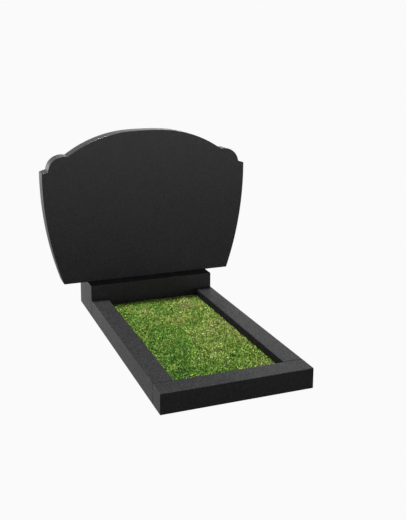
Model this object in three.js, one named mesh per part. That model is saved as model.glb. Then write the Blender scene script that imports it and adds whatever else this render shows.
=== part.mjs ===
// A grave memorial in polished black granite: an upright slab on a plinth, and a kerb around turf.
// Millimetres, +Z up. The front faces -Y, and the origin is on the ground under the middle.
import * as THREE from 'three';

// Slab, as seen from the front
const slabWidth = 1000;         // across the outer corners, its widest
const slabHeight = 710;         // foot to the top of the arch
const slabThickness = 80;
const footDrawIn = 87.5;        // how far each side comes in between corner and foot
const cornerDrop = 180;         // top of the arch down to the outer corners
const cornerUpright = 18;       // short straight stretch of side below each corner
const ledgeWidth = 28;          // corner to the widest point of the ear
const ledgeRise = 9;            // the ledge climbs this much from the corner to the ear
const earRadius = 75;           // quarter-round ear, centred level with the corner
const earOverrun = 18;          // the ear runs past its top this far before the arch springs
const crownRadius = 1600;       // the flat middle of the arch
const crownHalfWidth = 80;      // where the crown hands over to the tighter haunches

// Plinth under the slab
const plinthDepth = 230;
const plinthHeight = 150;
const slabSetback = 65;         // plinth's front face to the slab's front face

// Kerb around the bed
const kerbWidth = 600;          // overall, and the plinth's width
const kerbLength = 1000;        // front of the kerb to the plinth's front face
const kerbHeight = 80;
const sideBarWidth = 80;
const frontBarDepth = 85;

// Turf
const turfHeight = 48;          // ground to the mean top of the mown turf
const turfUnevenness = 2.5;     // rise and fall of its surface
const turfWaveX = 190;          // length of that rise and fall across the bed
const turfWaveY = 260;          // and along it
const turfStep = 45;            // spacing of the surface points

// Working
const arris = 2;                // small chamfer along every sawn edge
const jointGap = 0.3;           // open joint between stones that touch
const chord = 9;                // longest straight piece in a curved edge

const granite = (name) => new THREE.MeshStandardMaterial({
  name, color: 0x17181a, roughness: 0.28, metalness: 0,
});
const turf = new THREE.MeshStandardMaterial({
  name: 'turf', color: 0x5f7a35, roughness: 0.95, metalness: 0,
});

// Where the memorial's middle lies between the front of the kerb and the back of the plinth
const frontY = -(kerbLength + plinthDepth) / 2;
const plinthFrontY = frontY + kerbLength;
const bedFrontY = frontY + frontBarDepth;

// Points along an arc after its start, from one angle to another
function arcPoints(centre, radius, from, to) {
  const steps = Math.max(2, Math.ceil((radius * Math.abs(to - from)) / chord));
  const points = [];
  for (let i = 1; i <= steps; i += 1) {
    const angle = from + ((to - from) * i) / steps;
    points.push(new THREE.Vector2(
      centre.x + radius * Math.cos(angle),
      centre.y + radius * Math.sin(angle),
    ));
  }
  return points;
}

// The side of the slab: an arc that starts at the foot and ends upright below the corner
function sidePoints(footX, topHeight) {
  const halfWidth = slabWidth / 2;
  const radius = (topHeight ** 2 + footDrawIn ** 2) / (2 * footDrawIn);
  const centre = new THREE.Vector2(halfWidth - radius, topHeight);
  const footAngle = Math.atan2(-topHeight, footX - centre.x);
  return arcPoints(centre, radius, footAngle, 0);
}

// The quarter-round ear, from the ledge over its top to where the arch springs
function earPoints(centre) {
  const start = Math.asin(ledgeRise / earRadius);
  const end = Math.PI / 2 + Math.asin(earOverrun / earRadius);
  const first = new THREE.Vector2(
    centre.x + earRadius * Math.cos(start),
    centre.y + ledgeRise,
  );
  return [first, ...arcPoints(centre, earRadius, start, end)];
}

// Half of the arch, from the ear to the middle: a haunch tangent to a flatter crown
function archPoints(spring) {
  const lean = Math.asin(crownHalfWidth / crownRadius);
  const crownCentre = new THREE.Vector2(0, slabHeight - crownRadius);
  const handover = new THREE.Vector2(
    crownHalfWidth,
    crownCentre.y + crownRadius * Math.cos(lean),
  );
  const outward = new THREE.Vector2(Math.sin(lean), Math.cos(lean));
  const span = spring.clone().sub(handover);
  const haunchRadius = -span.lengthSq() / (2 * outward.dot(span));
  const haunchCentre = handover.clone().addScaledVector(outward, -haunchRadius);
  const springAngle = Math.atan2(spring.y - haunchCentre.y, spring.x - haunchCentre.x);
  const handoverAngle = Math.PI / 2 - lean;
  return [
    ...arcPoints(haunchCentre, haunchRadius, springAngle, handoverAngle),
    ...arcPoints(crownCentre, crownRadius, handoverAngle, Math.PI / 2),
  ];
}

// The slab's whole outline: the right half, and the same points mirrored
function slabOutline() {
  const halfWidth = slabWidth / 2;
  const cornerHeight = slabHeight - cornerDrop;
  const foot = new THREE.Vector2(halfWidth - footDrawIn, 0);
  const side = sidePoints(foot.x, cornerHeight - cornerUpright);
  const corner = new THREE.Vector2(halfWidth, cornerHeight);
  const earCentre = new THREE.Vector2(halfWidth - ledgeWidth - earRadius, cornerHeight);
  const ear = earPoints(earCentre);
  const arch = archPoints(ear[ear.length - 1]);
  const right = [foot, ...side, corner, ...ear, ...arch];
  const left = right.slice(0, -1).reverse().map((p) => new THREE.Vector2(-p.x, p.y));
  return [...right, ...left];
}

// Pushes an outline up to a height, with a chamfer along both of its rims
function chamferedPrism(outline, height) {
  const geometry = new THREE.ExtrudeGeometry(new THREE.Shape(outline), {
    depth: height - 2 * arris,
    bevelEnabled: true,
    bevelSegments: 1,
    bevelThickness: arris,
    bevelSize: arris,
    bevelOffset: -arris,
  });
  geometry.translate(0, 0, arris);
  return geometry;
}

// A sawn block with chamfered edges, centred on X and Y and standing on Z = 0
function block(width, depth, height) {
  const x = width / 2;
  const y = depth / 2;
  const outline = [
    [x, -y + arris], [x, y - arris], [x - arris, y], [-x + arris, y],
    [-x, y - arris], [-x, -y + arris], [-x + arris, -y], [x - arris, -y],
  ].map(([px, py]) => new THREE.Vector2(px, py));
  return chamferedPrism(outline, height);
}

function makeSlab() {
  const mesh = new THREE.Mesh(
    chamferedPrism(slabOutline(), slabThickness),
    granite('granite_slab'),
  );
  mesh.name = 'headstone_slab';
  mesh.rotation.x = Math.PI / 2;
  mesh.position.set(0, plinthFrontY + slabSetback + slabThickness, plinthHeight + jointGap);
  return mesh;
}

function makePlinth() {
  const mesh = new THREE.Mesh(
    block(kerbWidth, plinthDepth, plinthHeight),
    granite('granite_plinth'),
  );
  mesh.name = 'plinth';
  mesh.position.y = plinthFrontY + plinthDepth / 2;
  return mesh;
}

// A side bar fits between the front bar and the plinth
function makeSideBar(name, side) {
  const length = kerbLength - frontBarDepth - 2 * jointGap;
  const mesh = new THREE.Mesh(
    block(sideBarWidth, length, kerbHeight),
    granite(`granite_${name}`),
  );
  mesh.name = name;
  mesh.position.x = (side * (kerbWidth - sideBarWidth)) / 2;
  mesh.position.y = bedFrontY + jointGap + length / 2;
  return mesh;
}

function makeFrontBar() {
  const mesh = new THREE.Mesh(
    block(kerbWidth, frontBarDepth, kerbHeight),
    granite('granite_kerb_front'),
  );
  mesh.name = 'kerb_front';
  mesh.position.y = frontY + frontBarDepth / 2;
  return mesh;
}

// The turf fills the kerb, and its top rises and falls a little
function makeTurf() {
  const width = kerbWidth - 2 * sideBarWidth - 2 * jointGap;
  const length = kerbLength - frontBarDepth - 2 * jointGap;
  const geometry = new THREE.BoxGeometry(
    width,
    length,
    turfHeight,
    Math.ceil(width / turfStep),
    Math.ceil(length / turfStep),
    1,
  );
  geometry.translate(0, 0, turfHeight / 2);
  const place = geometry.attributes.position;
  for (let i = 0; i < place.count; i += 1) {
    if (place.getZ(i) > turfHeight / 2) {
      const across = Math.sin((2 * Math.PI * place.getX(i)) / turfWaveX);
      const along = Math.cos((2 * Math.PI * place.getY(i)) / turfWaveY);
      place.setZ(i, turfHeight + turfUnevenness * across * along);
    }
  }
  const mesh = new THREE.Mesh(geometry, turf);
  mesh.name = 'turf_bed';
  mesh.position.y = bedFrontY + jointGap + length / 2;
  return mesh;
}

const memorial = new THREE.Group();
memorial.add(makeSlab());
memorial.add(makePlinth());
memorial.add(makeSideBar('kerb_left', -1));
memorial.add(makeSideBar('kerb_right', 1));
memorial.add(makeFrontBar());
memorial.add(makeTurf());

export default memorial;
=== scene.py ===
# %% [markdown]
# # A polished black granite memorial
# The real thing is five sawn and polished stones and a bed of turf: an upright slab with an arched
# top, the plinth it stands on, and a kerb of three bars. The sizes come from a model, so this script
# loads that frame first, and every piece below takes its place from it.
# A shape typed in again by hand would drift away from the model's one.

# %% Load the frame
import math

import bmesh
import bpy
from mathutils import Euler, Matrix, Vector


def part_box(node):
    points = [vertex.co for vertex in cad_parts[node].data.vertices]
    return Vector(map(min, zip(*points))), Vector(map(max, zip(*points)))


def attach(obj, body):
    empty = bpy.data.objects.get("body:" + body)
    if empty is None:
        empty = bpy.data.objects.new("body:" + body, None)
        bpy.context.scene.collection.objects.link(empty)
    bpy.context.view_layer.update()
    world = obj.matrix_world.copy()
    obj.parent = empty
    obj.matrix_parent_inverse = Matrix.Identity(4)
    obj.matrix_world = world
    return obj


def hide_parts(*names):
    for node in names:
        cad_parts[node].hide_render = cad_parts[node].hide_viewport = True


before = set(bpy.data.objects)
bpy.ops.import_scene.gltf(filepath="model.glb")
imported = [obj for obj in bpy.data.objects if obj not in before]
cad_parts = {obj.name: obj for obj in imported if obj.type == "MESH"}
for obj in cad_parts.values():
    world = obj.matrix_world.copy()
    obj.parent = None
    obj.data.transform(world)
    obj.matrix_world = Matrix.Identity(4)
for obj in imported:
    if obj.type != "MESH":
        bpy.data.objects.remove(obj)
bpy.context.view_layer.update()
BOX = {name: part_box(name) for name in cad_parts}
for name, (low, high) in BOX.items():
    print(name, "size in mm:", [round(1000 * (b - a), 1) for a, b in zip(low, high)])

# %% [markdown]
# ## The camera
# The photograph looks at the memorial from its front left and from a little above. Its upright edges
# stay parallel, as a view camera's shift makes them. A full shift would throw every other view off
# centre, so the lens here shifts as little as the framing allows and the camera tilts down for the rest.

# %% Camera
CAMERA_PLACE = Vector((-1.049, -2.855, 1.258))
CAMERA_TURN = math.radians(-20.22)
CAMERA_TILT = math.radians(10.56)
LENS_MM = 51.32
SHIFT = (0.0426, -0.15)


def make_camera():
    """A camera at the photographer's place, looking down a little."""
    data = bpy.data.cameras.new("camera")
    data.lens = LENS_MM
    data.shift_x, data.shift_y = SHIFT
    camera = bpy.data.objects.new("camera", data)
    camera.location = CAMERA_PLACE
    camera.rotation_euler = Euler((math.pi / 2 - CAMERA_TILT, 0, CAMERA_TURN))
    bpy.context.scene.collection.objects.link(camera)
    bpy.context.scene.camera = camera
    return camera


camera = make_camera()
print("camera", round((camera.location - Vector((0, 0, 0.43))).length, 2), "m from the memorial")

# %% [markdown]
# ## Nodes from plain expressions
# Materials, the sky and the geometry trees below are all node trees. Wiring them socket by socket is
# long to read. A small class wraps one socket and turns Python's operators into Math nodes, so that
# `1 - mask` adds the node it says. One method makes every other kind of node.

# %% A wire and a graph


class Wire:
    """One socket. Arithmetic on it adds Math nodes to its tree."""

    def __init__(self, graph, socket):
        self.graph = graph
        self.socket = socket

    def maths(self, operation, *values):
        """Adds a Math node with these values or wires on its sockets."""
        inputs = dict(enumerate(values))
        return self.graph.node("ShaderNodeMath", {"operation": operation}, inputs)

    def __add__(self, other):
        return self.maths("ADD", self, other)

    def __radd__(self, other):
        return self.maths("ADD", other, self)

    def __sub__(self, other):
        return self.maths("SUBTRACT", self, other)

    def __rsub__(self, other):
        return self.maths("SUBTRACT", other, self)

    def __mul__(self, other):
        return self.maths("MULTIPLY", self, other)

    def __rmul__(self, other):
        return self.maths("MULTIPLY", other, self)

    def __pow__(self, other):
        return self.maths("POWER", self, other)

    def __rpow__(self, other):
        return self.maths("POWER", other, self)

    def __gt__(self, other):
        return self.maths("GREATER_THAN", self, other)

    def __lt__(self, other):
        return self.maths("LESS_THAN", self, other)

    def between(self, low, high):
        """0 at low, 1 at high and a smooth step from one to the other."""
        return self.graph.node(
            "ShaderNodeMapRange",
            {"interpolation_type": "SMOOTHSTEP"},
            {"Value": self, "From Min": low, "From Max": high},
        )


class Graph:
    """A node tree, with one method that makes any node in it."""

    def __init__(self, tree):
        self.tree = tree

    def node(self, kind, settings=None, inputs=None, output=0):
        """Makes a node. Its settings go in first, then its sockets' values or wires."""
        made = self.tree.nodes.new(kind)
        for name, value in (settings or {}).items():
            if name == "stops":
                self.fill_ramp(made.color_ramp, value)
            else:
                setattr(made, name, value)
        for key, value in (inputs or {}).items():
            for one in value if isinstance(value, list) else [value]:
                if isinstance(one, Wire):
                    self.tree.links.new(one.socket, made.inputs[key])
                else:
                    made.inputs[key].default_value = one
        if isinstance(output, tuple):
            return [Wire(self, made.outputs[key]) for key in output]
        return Wire(self, made.outputs[output]) if made.outputs else None

    @staticmethod
    def fill_ramp(ramp, stops):
        """Gives a colour ramp its stops, each a place from 0 to 1 and a colour or a grey."""
        while len(ramp.elements) < len(stops):
            ramp.elements.new(1)
        for element, (place, colour) in zip(ramp.elements, stops):
            element.position = place
            colour = colour if isinstance(colour, tuple) else (colour,) * 3
            element.color = (*colour, 1)


print("a Wire adds Math nodes, and a Graph makes every other kind")

# %% [markdown]
# ## The studio
# The photograph has a near-white ground with no edge and no shadow. Here a white shell stands behind
# everything, and the floor glows with the same white. Painted white and lit by a lamp, it would show
# its far edge and a shadow. The polish sees neither, so that they can be bright without greying it.
#
# Black polished stone has hardly any colour of its own, and what it shows is the room. The sky below
# gives it that room: a bright band at eye level, a dim floor in front and a lit floor behind.

# %% Floor and backdrop
STUDIO_RADIUS = 24
WHITE = 0.956


def new_material(name):
    """An empty material and the graph of its nodes."""
    material = bpy.data.materials.new(name)
    material.use_nodes = True
    material.node_tree.nodes.clear()
    return material, Graph(material.node_tree)


def show_material(graph, shader):
    """Sends a shader to the material's surface."""
    graph.node("ShaderNodeOutputMaterial", None, {"Surface": shader})


def mesh_object(name, build):
    """A new object whose mesh the given function builds with bmesh."""
    mesh = bpy.data.meshes.new(name)
    work = bmesh.new()
    build(work)
    work.to_mesh(mesh)
    work.free()
    made = bpy.data.objects.new(name, mesh)
    bpy.context.scene.collection.objects.link(made)
    return made


def make_floor(white):
    """A wide floor that lights nothing and that the stone's polish doesn't mirror."""
    floor = mesh_object("floor", lambda work: bmesh.ops.create_circle(
        work, cap_ends=True, segments=96, radius=STUDIO_RADIUS,
    ))
    floor.data.materials.append(white)
    floor.visible_glossy = False
    floor.visible_diffuse = False


def make_backdrop(white):
    """A shell round the studio that only the camera sees."""
    shell = mesh_object("backdrop", lambda work: bmesh.ops.create_uvsphere(
        work, u_segments=48, v_segments=24, radius=STUDIO_RADIUS,
    ))
    shell.data.materials.append(white)
    for ray in ("diffuse", "glossy", "transmission", "volume_scatter", "shadow"):
        setattr(shell, f"visible_{ray}", False)


white, graph = new_material("white glow")
show_material(graph, graph.node("ShaderNodeEmission", None, {"Color": (WHITE, WHITE, WHITE, 1)}))
make_floor(white)
make_backdrop(white)
bpy.context.scene.view_settings.view_transform = "Standard"
print("floor and backdrop reach", STUDIO_RADIUS, "m out")

# %% Sky
# Each stop is the sine of the height above the horizon, and how bright the room is there.
ROOM_IN_FRONT = [
    (-1, 0.0), (-0.5, 0.08), (-0.3, 0.12), (-0.14, 0.42), (0, 3.5), (0.12, 1.6), (0.3, 0.16), (1, 0.16),
]
ROOM_BEHIND = [
    (-1, 2.2), (-0.45, 0.32), (-0.27, 0.53), (-0.1, 1.1), (0, 2.2), (0.12, 0.65), (0.3, 0.10), (1, 0.16),
]

# The way from the front to the lit room behind, in X and Y, and where on it the change starts and ends.
LIT_SIDE = (-0.8, 0.6)
LIT_FROM = -0.1
LIT_TO = 0.8


def make_sky():
    """The room that the polish mirrors, by height and by side."""
    world = bpy.data.worlds.new("studio room")
    world.use_nodes = True
    world.node_tree.nodes.clear()
    graph = Graph(world.node_tree)
    way = graph.node("ShaderNodeTexCoord", None, None, "Generated")
    x, y, z = graph.node("ShaderNodeSeparateXYZ", None, {"Vector": way}, ("X", "Y", "Z"))
    height = z * 0.5 + 0.5
    front, behind = [
        graph.node(
            "ShaderNodeValToRGB",
            {"stops": [(0.5 + 0.5 * sine, grey) for sine, grey in room]},
            {"Fac": height},
        )
        for room in (ROOM_IN_FRONT, ROOM_BEHIND)
    ]
    side = (x * LIT_SIDE[0] + y * LIT_SIDE[1]).between(LIT_FROM, LIT_TO)
    colour = graph.node("ShaderNodeMix", {"data_type": "RGBA"}, {0: side, 6: front, 7: behind}, 2)
    background = graph.node("ShaderNodeBackground", None, {"Color": colour})
    graph.node("ShaderNodeOutputWorld", None, {"Surface": background})
    bpy.context.scene.world = world


make_sky()
print("sky stops:", len(ROOM_IN_FRONT), "in front,", len(ROOM_BEHIND), "behind")

# %% Lamps
# Each lamp: its name, the way towards it, how wide it looks in degrees and its strength.
LAMPS = [
    ("overhead", (-0.12, 0.13, 1.0), 3, 8.9),
]


def make_lamp(name, towards, width, strength):
    """A distant lamp, so that the front and the back of the turf are lit alike."""
    data = bpy.data.lights.new(name, "SUN")
    data.angle = math.radians(width)
    data.energy = strength
    lamp = bpy.data.objects.new(name, data)
    lamp.rotation_euler = Vector(towards).to_track_quat("Z", "Y").to_euler()
    bpy.context.scene.collection.objects.link(lamp)
    print("lamp", name, "strength", strength)


for lamp in LAMPS:
    make_lamp(*lamp)

# %% [markdown]
# ## Geometry Nodes from the script
# What repeats is grown by a node tree, and so are the stones, which all follow one rule. A tree's
# sizes are named inputs. The finished object keeps no modifier: the evaluated result is copied into
# a plain mesh, because an exported model can't carry the tree along.

# %% Trees and how to run one


def geometry_tree(name, inputs):
    """A Geometry Nodes tree with named inputs. Returns its graph and a wire for each input."""
    tree = bpy.data.node_groups.new(name, "GeometryNodeTree")
    tree.interface.new_socket("Geometry", in_out="INPUT", socket_type="NodeSocketGeometry")
    tree.interface.new_socket("Geometry", in_out="OUTPUT", socket_type="NodeSocketGeometry")
    for label, kind in inputs.items():
        tree.interface.new_socket(label, in_out="INPUT", socket_type="NodeSocket" + kind)
    graph = Graph(tree)
    entry = tree.nodes.new("NodeGroupInput")
    return graph, {socket.name: Wire(graph, socket) for socket in entry.outputs if socket.name}


def finish_tree(graph, geometry, material):
    """Ends a tree: real faces, not instances, with their material."""
    real = graph.node("GeometryNodeRealizeInstances", None, {"Geometry": geometry})
    dressed = graph.node("GeometryNodeSetMaterial", None, {"Geometry": real, "Material": material})
    graph.node("NodeGroupOutput", None, {"Geometry": dressed})


def run_tree(target, graph, values):
    """Puts a tree on an object and sets its inputs, found by name and set by identifier."""
    modifier = target.modifiers.new(graph.tree.name, "NODES")
    modifier.node_group = graph.tree
    for item in graph.tree.interface.items_tree:
        if item.in_out == "INPUT" and item.name in values:
            modifier[item.identifier] = values[item.name]


def to_plain_mesh(source, name):
    """Copies the evaluated object into a plain one at the origin, and removes the source."""
    depsgraph = bpy.context.evaluated_depsgraph_get()
    mesh = bpy.data.meshes.new_from_object(
        source.evaluated_get(depsgraph), preserve_all_data_layers=True, depsgraph=depsgraph,
    )
    mesh.name = name
    old = source.data
    bpy.data.objects.remove(source)
    bpy.data.meshes.remove(old)
    piece = bpy.data.objects.new(name, mesh)
    bpy.context.scene.collection.objects.link(piece)
    mesh.calc_loop_triangles()
    print(name, "has", len(mesh.loop_triangles), "triangles")
    return piece


print("trees can be run and flattened")

# %% [markdown]
# ## Polished black granite
# The stone is a fine-grained black gabbro. Polished, it is almost black: grains about a millimetre
# across and crystals of four, which differ a little in grey and in shine, and a few pale flecks. A flat
# black would look like plastic, and large flakes like a worktop, so each is a cell pattern at its true
# size. Faces nobody sees, at the back and underneath, are only honed: greyer, duller, with faint saw
# lines. An attribute on the faces says which ones, so that one material serves the whole stone.

# %% Granite material
GRAIN = 0.0013
CRYSTAL = 0.0042
CLOUD = 0.11
SAW_PITCH = 0.009

# The distance after which a diagonal Wave texture of scale 1 repeats.
WAVE_PERIOD = 2 * math.pi / 10


def make_granite():
    """Near-black stone with fine grain, polished or honed by the faces' own attribute."""
    material, graph = new_material("polished black granite")
    place = graph.node("ShaderNodeTexCoord", None, None, "Object")
    grain, crystal = [
        graph.node("ShaderNodeSeparateColor", None, {"Color": graph.node(
            "ShaderNodeTexVoronoi", None, {"Vector": place, "Scale": 1 / size}, "Color",
        )}, "Red")
        for size in (GRAIN, CRYSTAL)
    ]
    cloud = graph.node("ShaderNodeTexNoise", None, {
        "Vector": place, "Scale": 1 / CLOUD, "Detail": 4, "Roughness": 0.6,
    }, "Fac")
    honed = graph.node("ShaderNodeAttribute", {"attribute_name": "honed"}, None, "Fac")
    # The palest tenth of the grains are flecks. Each number below is the grey, and further down the
    # dullness, that this part of the stone adds.
    fleck = grain.between(0.90, 0.98)
    grey = grain * 0.004 + cloud * 0.005 + crystal * 0.017 + fleck * 0.035
    grey = grey + honed * (0.030 + grain * 0.030)
    colour = graph.node("ShaderNodeCombineColor", None, {
        "Red": grey, "Green": grey * 1.01, "Blue": grey * 1.05,
    })
    roughness = 0.40 - crystal * 0.22 + grain * 0.08 + honed * 0.3
    saw = graph.node("ShaderNodeTexWave", {"bands_direction": "DIAGONAL"}, {
        "Vector": place, "Scale": WAVE_PERIOD / SAW_PITCH, "Distortion": 1.5, "Detail": 2,
    }, "Fac")
    relief = honed * (saw * 0.5 + grain * 0.5)
    bump = graph.node("ShaderNodeBump", None, {
        "Strength": 0.25, "Distance": 0.0004, "Height": relief,
    })
    show_material(graph, graph.node("ShaderNodeBsdfPrincipled", None, {
        "Base Color": colour, "Roughness": roughness, "IOR": 1.38, "Normal": bump,
    }))
    return material


granite = make_granite()
print("granite nodes:", len(granite.node_tree.nodes))

# %% [markdown]
# ## Sawing a stone
# A mason saws an outline through a slab of even thickness, grinds the edges and takes the sharpness
# off every arris. The tree does the same: it fills an outline, extrudes it by the thickness, turns it
# upright if it has to stand, and marks the faces that are left honed. A Bevel modifier then rounds the
# arrises. All five stones come from this one tree, because each is an outline and a thickness.

# %% The saw
ARRIS = 0.002
ARRIS_STEPS = 3
ARRIS_ANGLE = math.radians(30)
WELD = 0.00002


def make_saw():
    """The tree that turns a flat outline into a stone."""
    graph, given = geometry_tree("sawn stone", {
        "Thickness": "Float", "Turn": "Vector", "Place": "Vector", "Honed Side": "Vector",
        "Material": "Material",
    })
    outline = graph.node("GeometryNodeMeshToCurve", None, {"Mesh": given["Geometry"]})
    flat = graph.node("GeometryNodeFillCurve", {"mode": "NGONS"}, {"Curve": outline})
    through = graph.node("GeometryNodeExtrudeMesh", None, {
        "Mesh": flat, "Offset": (0, 0, 1), "Offset Scale": given["Thickness"], "Individual": False,
    })
    under = graph.node("GeometryNodeFlipFaces", None, {"Mesh": flat})
    shell = graph.node("GeometryNodeJoinGeometry", None, {"Geometry": [through, under]})
    welded = graph.node("GeometryNodeMergeByDistance", None, {"Geometry": shell, "Distance": WELD})
    placed = graph.node("GeometryNodeTransform", None, {
        "Geometry": welded, "Translation": given["Place"], "Rotation": given["Turn"],
    })
    # A face is honed where it looks towards the given side, or down.
    facing = graph.node("GeometryNodeInputNormal")
    towards = graph.node("ShaderNodeVectorMath", {"operation": "DOT_PRODUCT"}, {
        0: facing, 1: given["Honed Side"],
    }, "Value")
    up = graph.node("ShaderNodeSeparateXYZ", None, {"Vector": facing}, "Z")
    honed = graph.node("ShaderNodeMath", {"operation": "MAXIMUM"}, {0: towards > 0.5, 1: up < -0.5})
    marked = graph.node(
        "GeometryNodeStoreNamedAttribute", {"data_type": "FLOAT", "domain": "FACE"},
        {"Geometry": placed, "Name": "honed", "Value": honed},
    )
    smooth = graph.node("GeometryNodeSetShadeSmooth", None, {"Geometry": marked})
    finish_tree(graph, smooth, given["Material"])
    return graph


saw = make_saw()


def flat_outline(name, outline):
    """A closed line through points on the ground plane."""
    def draw(work):
        points = [work.verts.new((x, y, 0)) for x, y in outline]
        for one, two in zip(points, points[1:] + points[:1]):
            work.edges.new((one, two))
    return mesh_object(name, draw)


def saw_stone(name, node, outline, thickness, turn, place, honed_side):
    """Saws one stone, rounds its arrises and puts it in place of its node."""
    source = flat_outline(name + "_outline", outline)
    run_tree(source, saw, {
        "Thickness": thickness, "Turn": turn, "Place": place, "Honed Side": honed_side,
        "Material": granite,
    })
    arris = source.modifiers.new("arris", "BEVEL")
    arris.width = ARRIS
    arris.segments = ARRIS_STEPS
    arris.limit_method = "ANGLE"
    arris.angle_limit = ARRIS_ANGLE
    arris.harden_normals = True
    stone = to_plain_mesh(source, name)
    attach(stone, "root")
    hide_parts(node)
    return stone


print("arrises rounded to", 1000 * ARRIS, "mm")

# %% [markdown]
# ## The upright slab
# Seen from the front, the slab is one line of arcs. Each side leaves the foot leaning out and curves
# until it is upright. A short ledge leads to a quarter-round ear, and from the ear springs an arch whose
# middle is flatter than its haunches. A free curve could be dragged into this shape, but arcs with
# named radii keep both halves alike and meet without a kink, as the mason's template does.

# %% Outline of the slab
FOOT_DRAW_IN = 0.0875
CORNER_DROP = 0.180
CORNER_UPRIGHT = 0.018
LEDGE_WIDTH = 0.028
LEDGE_RISE = 0.009
EAR_RADIUS = 0.075
EAR_OVERRUN = 0.018
CROWN_RADIUS = 1.6
CROWN_HALF_WIDTH = 0.08
CURVE_STEP = 0.005


def arc(centre, radius, start, end):
    """Points along an arc after its start."""
    steps = max(2, math.ceil(radius * abs(end - start) / CURVE_STEP))
    angles = [start + (end - start) * step / steps for step in range(1, steps + 1)]
    return [(centre[0] + radius * math.cos(a), centre[1] + radius * math.sin(a)) for a in angles]


def side_of_slab(half_width, top):
    """The side, from the foot up to where it stands upright."""
    radius = (top ** 2 + FOOT_DRAW_IN ** 2) / (2 * FOOT_DRAW_IN)
    return arc((half_width - radius, top), radius, -math.asin(top / radius), 0)


def ear_of_slab(centre):
    """The ear, from the ledge over its top to where the arch springs."""
    start = math.asin(LEDGE_RISE / EAR_RADIUS)
    first = (centre[0] + EAR_RADIUS * math.cos(start), centre[1] + LEDGE_RISE)
    end = math.pi / 2 + math.asin(EAR_OVERRUN / EAR_RADIUS)
    return [first] + arc(centre, EAR_RADIUS, start, end)


def arch_of_slab(spring, height):
    """Half of the arch: a haunch through the spring point, tangent to the flatter crown."""
    lean = math.asin(CROWN_HALF_WIDTH / CROWN_RADIUS)
    outward = Vector((math.sin(lean), math.cos(lean)))
    crown = Vector((0, height - CROWN_RADIUS))
    handover = crown + CROWN_RADIUS * outward
    span = Vector(spring) - handover
    radius = -span.length_squared / (2 * outward.dot(span))
    haunch = handover - radius * outward
    spring_angle = math.atan2(spring[1] - haunch.y, spring[0] - haunch.x)
    handover_angle = math.pi / 2 - lean
    print("haunch radius", round(1000 * radius), "mm")
    return arc(haunch, radius, spring_angle, handover_angle) + arc(
        crown, CROWN_RADIUS, handover_angle, math.pi / 2,
    )


def slab_outline(width, height):
    """The whole outline: the right half, and the same points mirrored."""
    half = width / 2
    corner = height - CORNER_DROP
    ear = ear_of_slab((half - LEDGE_WIDTH - EAR_RADIUS, corner))
    right = [(half - FOOT_DRAW_IN, 0)] + side_of_slab(half, corner - CORNER_UPRIGHT)
    right += [(half, corner)] + ear + arch_of_slab(ear[-1], height)
    return right + [(-x, y) for x, y in reversed(right[:-1])]


slab_low, slab_high = (Vector(corner) for corner in BOX["headstone_slab"])
slab_size = slab_high - slab_low
template = slab_outline(slab_size.x, slab_size.z)
print("slab outline:", len(template), "points")

# %% Saw the slab
UPRIGHT = (math.pi / 2, 0, 0)
BACK = (0, 1, 0)

saw_stone(
    "slab_stone", "headstone_slab", template, slab_size.y, UPRIGHT,
    (0, slab_high.y, slab_low.z), BACK,
)

# %% [markdown]
# ## Plinth and kerb
# The other four stones are plain sawn blocks. Their outline is a rectangle on the ground, taken from the
# frame, and their thickness is their height. The side bars stop a hair short of the front bar and of
# the plinth, as the blocks of a real kerb do, and the arrises on both sides of a joint make a groove.

# %% Saw the blocks
LYING = (0, 0, 0)
NO_SIDE = (0, 0, 0)
BLOCKS = {
    "plinth": BACK,
    "kerb_left": NO_SIDE,
    "kerb_right": NO_SIDE,
    "kerb_front": NO_SIDE,
}

for node, honed_side in BLOCKS.items():
    low, high = (Vector(corner) for corner in BOX[node])
    rectangle = [(low.x, low.y), (high.x, low.y), (high.x, high.y), (low.x, high.y)]
    saw_stone(
        node + "_stone", node, rectangle, high.z - low.z, LYING, (0, 0, low.z), honed_side,
    )

# %% [markdown]
# ## Joint filler
# Where a side bar meets the front bar, the mason rubs black resin into the groove between their two
# arrises, and it shows as one thin matt line, darker than the polish. A line in the texture would stay
# behind when a bar's size changes, so this is a real bead. Its section fills the groove, computed from
# the arrises' radius, and a tree leads it round the bar's end, like a ring with the bar's own corners.

# %% Joint filler
BEAD_DEPTH = 0.0015
BEAD_STEPS = 6


def make_filler_material():
    """Matt black resin with stone dust in it."""
    material, graph = new_material("joint resin")
    place = graph.node("ShaderNodeTexCoord", None, None, "Object")
    dust = graph.node("ShaderNodeTexNoise", None, {"Vector": place, "Scale": 1 / GRAIN, "Detail": 2}, "Fac")
    grey = 0.001 + dust * 0.004
    colour = graph.node("ShaderNodeCombineColor", None, {"Red": grey, "Green": grey, "Blue": grey})
    bump = graph.node("ShaderNodeBump", None, {"Strength": 0.3, "Distance": 0.0002, "Height": dust})
    show_material(graph, graph.node("ShaderNodeBsdfPrincipled", None, {
        "Base Color": colour, "Roughness": 0.9, "Specular IOR Level": 0.2, "Normal": bump,
    }))
    return material


def groove_section(gap):
    """The groove between two rounded arrises, flush with the stone: how deep, and how far aside."""
    right = []
    for step in range(BEAD_STEPS + 1):
        depth = BEAD_DEPTH * step / BEAD_STEPS
        half_width = gap / 2 + ARRIS - math.sqrt(ARRIS ** 2 - (ARRIS - depth) ** 2)
        right.append((-depth, half_width))
    return right + [(x, -y) for x, y in reversed(right)]


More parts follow.
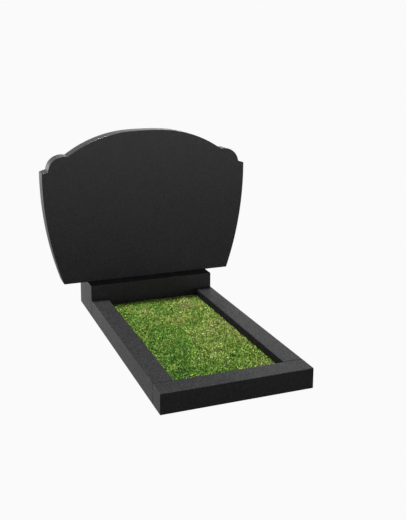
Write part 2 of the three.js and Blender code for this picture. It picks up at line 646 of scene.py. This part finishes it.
def make_bead_tree():
    """Leads a section round the end of a bar."""
    graph, given = geometry_tree("joint bead", {
        "Across": "Float", "High": "Float", "Corner": "Float", "Steps": "Int", "Place": "Vector",
        "Material": "Material",
    })
    edge = graph.node("GeometryNodeCurvePrimitiveQuadrilateral", {"mode": "RECTANGLE"}, {
        "Width": given["Across"], "Height": given["High"],
    })
    rounded = graph.node("GeometryNodeFilletCurve", {"mode": "POLY"}, {
        "Curve": edge, "Radius": given["Corner"], "Count": given["Steps"],
    })
    section = graph.node("GeometryNodeMeshToCurve", None, {"Mesh": given["Geometry"]})
    bead = graph.node("GeometryNodeCurveToMesh", None, {"Curve": rounded, "Profile Curve": section})
    placed = graph.node("GeometryNodeTransform", None, {
        "Geometry": bead, "Translation": given["Place"], "Rotation": UPRIGHT,
    })
    finish_tree(graph, placed, given["Material"])
    return graph


filler = make_filler_material()
bead_tree = make_bead_tree()


def fill_joint(name, bar):
    """Fills the joint between the front bar and one side bar."""
    low, high = (Vector(corner) for corner in BOX[bar])
    front_back = BOX["kerb_front"][1][1]
    source = flat_outline(name + "_section", groove_section(low.y - front_back))
    run_tree(source, bead_tree, {
        "Across": high.x - low.x, "High": high.z - low.z, "Corner": ARRIS, "Steps": ARRIS_STEPS,
        "Place": ((low.x + high.x) / 2, (low.y + front_back) / 2, (low.z + high.z) / 2),
        "Material": filler,
    })
    bead = to_plain_mesh(source, name)
    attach(bead, "root")
    lowest, highest = [[f(v.co[axis] for v in bead.data.vertices) for axis in range(3)] for f in (min, max)]
    print("bead spans", [round(1000 * v, 2) for v in lowest], "to", [round(1000 * v, 2) for v in highest])


fill_joint("joint_left", "kerb_left")
fill_joint("joint_right", "kerb_right")

# %% [markdown]
# ## Soil
# Under the grass lies dark soil with a thatch of dead leaves. It shows only in the gaps, but without
# it the turf would float. It is a block that fills the bed, its top lifted and lowered by noise.

# %% Soil under the grass
SOIL_DEPTH = 0.042
SOIL_ROUGHNESS = 0.006
SOIL_STEP = 0.008
SOIL_LUMP = 0.06
SOIL_CRUMB = 0.004


def make_soil_material():
    """Dark crumbly soil with thatch."""
    material, graph = new_material("soil and thatch")
    place = graph.node("ShaderNodeTexCoord", None, None, "Object")
    crumb = graph.node("ShaderNodeTexNoise", None, {
        "Vector": place, "Scale": 1 / SOIL_CRUMB, "Detail": 6, "Roughness": 0.7,
    }, "Fac")
    colour = graph.node("ShaderNodeValToRGB", {"stops": [
        (0.35, (0.010, 0.012, 0.005)), (0.55, (0.028, 0.034, 0.011)), (0.72, (0.085, 0.080, 0.035)),
    ]}, {"Fac": crumb})
    bump = graph.node("ShaderNodeBump", None, {"Strength": 0.8, "Distance": 0.003, "Height": crumb})
    show_material(graph, graph.node("ShaderNodeBsdfPrincipled", None, {
        "Base Color": colour, "Roughness": 0.95, "Normal": bump,
    }))
    return material


def make_soil():
    """A block that fills the bed, with an uneven top."""
    low, high = (Vector(corner) for corner in BOX["turf_bed"])
    size = Vector((high.x - low.x, high.y - low.y, SOIL_DEPTH))
    graph, given = geometry_tree("soil", {
        "Size": "Vector", "Place": "Vector", "Across": "Int", "Along": "Int",
        "Unevenness": "Float", "Material": "Material",
    })
    block = graph.node("GeometryNodeMeshCube", None, {
        "Size": given["Size"], "Vertices X": given["Across"], "Vertices Y": given["Along"],
    })
    placed = graph.node("GeometryNodeTransform", None, {
        "Geometry": block, "Translation": given["Place"],
    })
    where = graph.node("GeometryNodeInputPosition")
    lump = graph.node("ShaderNodeTexNoise", None, {
        "Vector": where, "Scale": 1 / SOIL_LUMP, "Detail": 5, "Roughness": 0.6,
    }, "Fac")
    lift = graph.node("ShaderNodeCombineXYZ", None, {"Z": (lump - 0.5) * given["Unevenness"]})
    z = graph.node("ShaderNodeSeparateXYZ", None, {"Vector": where}, "Z")
    uneven = graph.node("GeometryNodeSetPosition", None, {
        "Geometry": placed, "Selection": z > SOIL_DEPTH / 2, "Offset": lift,
    })
    finish_tree(graph, uneven, given["Material"])
    source = mesh_object("soil_source", lambda work: None)
    run_tree(source, graph, {
        "Size": size, "Place": ((low.x + high.x) / 2, (low.y + high.y) / 2, SOIL_DEPTH / 2),
        "Across": round(size.x / SOIL_STEP), "Along": round(size.y / SOIL_STEP),
        "Unevenness": SOIL_ROUGHNESS, "Material": make_soil_material(),
    })
    soil = to_plain_mesh(source, "soil")
    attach(soil, "root")
    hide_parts("turf_bed")
    return soil


soil = make_soil()

# %% [markdown]
# ## Grass
# Mown turf is tens of thousands of blades, one or two millimetres wide, leaning every way. Hand-wide
# patches of it are a fresh green, and others are olive, where the mower has scalped them, and it dries
# out towards the right. Hair particles would look right here but are lost in an export, so a tree
# scatters real blades of five triangles each. A blade's hue follows its patch, its place and its luck,
# and its light also its plant. Its light also carries painted shade, darker towards its root, and
# painted light, brighter towards the back and the right. The two are stored as the blade's UV map,
# across for the hue and up for the light, so that one material colours every blade.

# %% Grass material
BLADE_MAP = "OFBake"


def make_grass_material():
    """Hue across the map, from fresh green to straw, and light up it, which holds painted shade at the
    roots and painted light towards the back.
    """
    material, graph = new_material("grass")
    spot = graph.node("ShaderNodeUVMap", {"uv_map": BLADE_MAP})
    hue, light = graph.node("ShaderNodeSeparateXYZ", None, {"Vector": spot}, ("X", "Y"))
    leaf = graph.node("ShaderNodeValToRGB", {"stops": [
        (0.00, (0.200, 0.570, 0.058)),
        (0.35, (0.380, 0.790, 0.100)),
        (0.65, (0.655, 0.960, 0.164)),
        (1.00, (0.980, 0.970, 0.370)),
    ]}, {"Fac": hue})
    # The light scales the leaf colour, and with it the painted shade at the roots and the painted light
    # towards the back.
    colour = graph.node("ShaderNodeVectorMath", {"operation": "SCALE"}, {0: leaf, "Scale": light})
    show_material(graph, graph.node("ShaderNodeBsdfPrincipled", None, {
        "Base Color": colour, "Roughness": 0.42, "Specular IOR Level": 0.5,
    }))
    return material


grass_material = make_grass_material()
print("blade map:", BLADE_MAP)

# %% Grass tree
# A blade of length 1: how far each of its shapes bends over, its rings, the height of its knee, and
# how far its tip reaches out and drops when it is bent right over.
BENDS = (0.1, 0.35, 0.6, 0.95)
BLADE_RINGS = 3
BLADE_KNEE = 0.55
BLADE_REACH = 0.8
BLADE_DROP = 0.45
TIP_WELD = 0.0001

# How wide a patch and a plant are. A plant has a number of its own from 0 to 1, and its blades are
# left out where that number and a little luck don't come over the gaps' value.
PATCH = 0.085
PLANT = 0.0035
GAPS = 0.4
GAPS_BY_LUCK = 0.3

# The share of a blade's light that its root keeps, where each blade is painted darker towards its root
# as painted shade among the blades, and the shares of the layer's lean that come from the blade itself
# and from its plant.
ROOT_LIGHT_UNDER_PAINTED_SHADE = 0.2
LEAN_OF_BLADE = 0.4
LEAN_OF_PLANT = 1.4

# How far the hue and the light of a blade follow its patch, its plant, its luck and its place. The light
# that
# follows its place is painted light: blades are coloured brighter towards the back and the right of the
# bed.
HUE_BY_PATCH = 0.5
HUE_BY_LUCK = 0.25
LIGHT_BY_PLANT = 0.25
LIGHT_BY_PATCH = 0.08
DRIER_TOWARDS = (0.6, 0.2, 0)
# Painted light: the way towards which the blades are coloured brighter.
PAINTED_LIGHT_TOWARDS = (0.16, 0.12, 0)


def chance(graph, low, high, seed):
    """A random number for each point between two values or wires."""
    return graph.node("FunctionNodeRandomValue", {"data_type": "FLOAT"}, {
        2: low, 3: high, "Seed": seed,
    }, 1)


def one_blade(graph, bend, width):
    """A blade of length 1 that bends over towards +X and narrows to its tip."""
    spine = graph.node("GeometryNodeCurveQuadraticBezier", None, {
        "Resolution": BLADE_RINGS, "Start": (0, 0, 0), "Middle": (0, 0, BLADE_KNEE),
        "End": (BLADE_REACH * bend, 0, 1 - BLADE_DROP * bend),
    })
    along = graph.node("GeometryNodeSplineParameter", None, None, "Factor")
    marked = graph.node(
        "GeometryNodeStoreNamedAttribute", {"data_type": "FLOAT", "domain": "POINT"},
        {"Geometry": spine, "Name": "along", "Value": along},
    )
    taper = graph.node("GeometryNodeSetCurveRadius", None, {
        "Curve": marked, "Radius": 1 - along ** 3,
    })
    half = width * 0.5
    left = graph.node("ShaderNodeCombineXYZ", None, {"Y": half * -1})
    right = graph.node("ShaderNodeCombineXYZ", None, {"Y": half})
    section = graph.node("GeometryNodeCurvePrimitiveLine", None, {"Start": left, "End": right})
    strip = graph.node("GeometryNodeCurveToMesh", None, {"Curve": taper, "Profile Curve": section})
    tip = graph.node("GeometryNodeMergeByDistance", None, {"Geometry": strip, "Distance": TIP_WELD})
    return graph.node("GeometryNodeGeometryToInstance", None, {"Geometry": tip})


def make_grass_tree():
    """Scatters blades over the upper side of the soil."""
    graph, given = geometry_tree("grass", {
        "Density": "Float", "Shortest": "Float", "Longest": "Float", "Width": "Float",
        "Lean": "Float", "Darkest": "Float", "Brightest": "Float", "Dryness": "Float",
        "Seed": "Int", "Material": "Material",
    })
    seed = given["Seed"]
    facing = graph.node("GeometryNodeInputNormal")
    up = graph.node("ShaderNodeSeparateXYZ", None, {"Vector": facing}, "Z")
    roots = graph.node("GeometryNodeDistributePointsOnFaces", None, {
        "Mesh": given["Geometry"], "Selection": up > 0.5, "Density": given["Density"],
        "Seed": seed,
    }, "Points")
    # The noise of the patches is stretched, so that much of the turf is clearly green or clearly dry.
    where = graph.node("GeometryNodeInputPosition")
    patch = graph.node("ShaderNodeTexNoise", None, {
        "Vector": where, "Scale": 1 / PATCH, "Detail": 3, "Roughness": 0.65,
    }, "Fac").between(0.3, 0.7)
    plant = graph.node("ShaderNodeTexVoronoi", {"voronoi_dimensions": "2D"}, {
        "Vector": where, "Scale": 1 / PLANT,
    }, "Color")
    plant_x, plant_y, plant_tone = graph.node(
        "ShaderNodeSeparateXYZ", None, {"Vector": plant}, ("X", "Y", "Z"),
    )
    luck = chance(graph, 0, 1, seed + 1)
    drier, painted_light = [
        graph.node("ShaderNodeVectorMath", {"operation": "DOT_PRODUCT"}, {0: where, 1: way}, "Value")
        for way in (DRIER_TOWARDS, PAINTED_LIGHT_TOWARDS)
    ]
    hue = given["Dryness"] + patch * HUE_BY_PATCH + luck * HUE_BY_LUCK + drier
    vigour = chance(graph, 0, 1 - LIGHT_BY_PLANT, seed + 7) + plant_tone * LIGHT_BY_PLANT
    light = given["Darkest"] + vigour * (given["Brightest"] - given["Darkest"])
    # Painted light: the blade's colour is made brighter towards the back and the right.
    light = light * (1 + (patch - 0.5) * LIGHT_BY_PATCH + painted_light)
    toned = roots
    for name, value in (("hue", hue), ("light", light)):
        toned = graph.node(
            "GeometryNodeStoreNamedAttribute", {"data_type": "FLOAT", "domain": "POINT"},
            {"Geometry": toned, "Name": name, "Value": value},
        )
    blades = graph.node("GeometryNodeJoinGeometry", None, {
        "Geometry": [one_blade(graph, bend, given["Width"]) for bend in BENDS],
    })
    own_lean = given["Lean"] * LEAN_OF_BLADE
    plant_lean = given["Lean"] * LEAN_OF_PLANT
    turn = graph.node("ShaderNodeCombineXYZ", None, {
        "X": chance(graph, own_lean * -1, own_lean, seed + 2) + (plant_x - 0.5) * plant_lean,
        "Y": chance(graph, own_lean * -1, own_lean, seed + 3) + (plant_y - 0.5) * plant_lean,
        "Z": chance(graph, 0, 2 * math.pi, seed + 4),
    })
    pick = graph.node("FunctionNodeRandomValue", {"data_type": "INT"}, {
        4: 0, 5: len(BENDS) - 1, "Seed": seed + 5,
    }, 2)
    planted = graph.node("GeometryNodeInstanceOnPoints", None, {
        "Points": toned, "Instance": blades, "Pick Instance": True, "Instance Index": pick,
        "Selection": luck * GAPS_BY_LUCK + plant_tone > GAPS,
        "Rotation": turn, "Scale": chance(graph, given["Shortest"], given["Longest"], seed + 6),
    })
    real = graph.node("GeometryNodeRealizeInstances", None, {"Geometry": planted})
    own_hue, own_light, own_height = [
        graph.node("GeometryNodeInputNamedAttribute", {"data_type": "FLOAT"}, {"Name": name})
        for name in ("hue", "light", "along")
    ]
    # Painted shade: each blade is coloured darker towards its root, down to the share that its root keeps.
    spot = graph.node("ShaderNodeCombineXYZ", None, {
        "X": own_hue, "Y": own_light * (ROOT_LIGHT_UNDER_PAINTED_SHADE + own_height * (1 - ROOT_LIGHT_UNDER_PAINTED_SHADE)),
    })
    mapped = graph.node(
        "GeometryNodeStoreNamedAttribute", {"data_type": "FLOAT2", "domain": "CORNER"},
        {"Geometry": real, "Name": BLADE_MAP, "Value": spot},
    )
    finish_tree(graph, mapped, given["Material"])
    return graph


grass_tree = make_grass_tree()
print("blade shapes:", len(BENDS))

# %% Sow the grass
# Each layer: blades on a square metre, shortest and longest blade, width as a share of the length,
# the most it leans, its darkest and brightest light, how dry it is, and the seed of its chances.
LAYERS = {
    "grass_low": (94000, 0.0055, 0.0085, 0.22, math.radians(75), 0.02, 0.55, 0.11, 11),
    "grass_mown": (92000, 0.006, 0.010, 0.21, math.radians(67), 0.04, 0.90, 0.13, 23),
    "grass_tall": (86000, 0.007, 0.011, 0.19, math.radians(60), 0.06, 1.02, 0.16, 31),
    "grass_straw": (26000, 0.006, 0.010, 0.20, math.radians(76), 0.50, 1.00, 0.36, 37),
}


def sow(name, density, shortest, longest, width, lean, darkest, brightest, dryness, seed):
    """Grows one layer of grass on a copy of the soil."""
    source = bpy.data.objects.new(name + "_source", soil.data.copy())
    bpy.context.scene.collection.objects.link(source)
    run_tree(source, grass_tree, {
        "Density": density, "Shortest": shortest, "Longest": longest, "Width": width,
        "Lean": lean, "Darkest": darkest, "Brightest": brightest, "Dryness": dryness,
        "Seed": seed, "Material": grass_material,
    })
    layer = to_plain_mesh(source, name)
    layer.visible_glossy = False
    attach(layer, "root")


for name, values in LAYERS.items():
    sow(name, *values)
